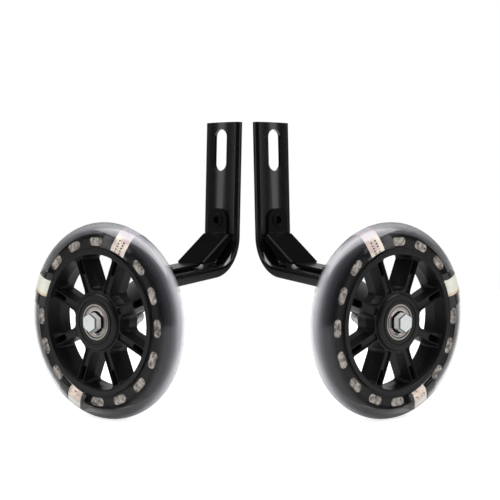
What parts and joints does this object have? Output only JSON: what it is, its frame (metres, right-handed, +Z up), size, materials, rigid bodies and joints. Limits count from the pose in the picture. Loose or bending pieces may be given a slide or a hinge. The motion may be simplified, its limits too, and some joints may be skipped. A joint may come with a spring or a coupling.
{
  "type": "bicycle training wheels",
  "caption": "Pair of bicycle training wheels: spoked wheels with clear light-up tyres on ball bearings, each on a bent slotted channel arm with a riveted brace.",
  "frame": {"origin": "on the floor under the middle of the pair's outline, midway between the two wheels", "axes": "+X to the right, towards the right unit; +Y away from the viewer, towards the slotted arms; +Z up"},
  "size_m": [0.273, 0.1444, 0.186],
  "materials": {
    "black_paint": "gloss",
    "core_nylon": "satin moulded",
    "clear_tyre": "clear cast",
    "lamp_resin": "potted resin",
    "zinc_steel": "bright zinc",
    "bearing_steel": "ground",
    "cage_nylon": "moulded"
  },
  "bodies": {
    "arms": {"left_arm": "black_paint", "left_brace": "black_paint", "left_upper_rivet": "black_paint", "left_lower_rivet": "black_paint", "left_axle_bolt": "zinc_steel", "left_axle_washer": "zinc_steel", "left_lock_nut": "zinc_steel", "left_lug_spacer": "zinc_steel", "left_bearing_sleeve": "zinc_steel", "left_outboard_inner_ring": "bearing_steel", "left_inboard_inner_ring": "bearing_steel", "right_arm": "black_paint", "right_brace": "black_paint", "right_upper_rivet": "black_paint", "right_lower_rivet": "black_paint", "right_axle_bolt": "zinc_steel", "right_axle_washer": "zinc_steel", "right_lock_nut": "zinc_steel", "right_lug_spacer": "zinc_steel", "right_bearing_sleeve": "zinc_steel", "right_outboard_inner_ring": "bearing_steel", "right_inboard_inner_ring": "bearing_steel"},
    "left_wheel": {"left_wheel_core": "core_nylon", "left_tyre": "clear_tyre", "left_lamp_modules": "lamp_resin", "left_outboard_outer_ring": "bearing_steel", "left_inboard_outer_ring": "bearing_steel", "left_outboard_shields": "bearing_steel", "left_inboard_shields": "bearing_steel"},
    "left_ball_sets": {"left_outboard_balls": "bearing_steel", "left_inboard_balls": "bearing_steel", "left_outboard_cage": "cage_nylon", "left_inboard_cage": "cage_nylon"},
    "right_wheel": {"right_wheel_core": "core_nylon", "right_tyre": "clear_tyre", "right_lamp_modules": "lamp_resin", "right_outboard_outer_ring": "bearing_steel", "right_inboard_outer_ring": "bearing_steel", "right_outboard_shields": "bearing_steel", "right_inboard_shields": "bearing_steel"},
    "right_ball_sets": {"right_outboard_balls": "bearing_steel", "right_inboard_balls": "bearing_steel", "right_outboard_cage": "cage_nylon", "right_inboard_cage": "cage_nylon"}
  },
  "joints": [
    {"name": "left_wheel_spin", "type": "hinge", "parent": "arms", "child": "left_wheel", "pos_m": [-0.0862, -0.03212, 0.06], "axis": [-0.5948, -0.8039, 0], "continuous": true},
    {"name": "left_ball_run", "type": "hinge", "parent": "arms", "child": "left_ball_sets", "pos_m": [-0.0862, -0.03212, 0.06], "axis": [-0.5948, -0.8039, 0], "continuous": true},
    {"name": "right_wheel_spin", "type": "hinge", "parent": "arms", "child": "right_wheel", "pos_m": [0.0862, -0.03212, 0.06], "axis": [0.5948, -0.8039, 0], "continuous": true},
    {"name": "right_ball_run", "type": "hinge", "parent": "arms", "child": "right_ball_sets", "pos_m": [0.0862, -0.03212, 0.06], "axis": [0.5948, -0.8039, 0], "continuous": true}
  ],
  "couplings": [
    {"joint": "left_ball_run", "follows": "left_wheel_spin", "ratio": 0.6323},
    {"joint": "right_ball_run", "follows": "right_wheel_spin", "ratio": 0.6323}
  ]
}
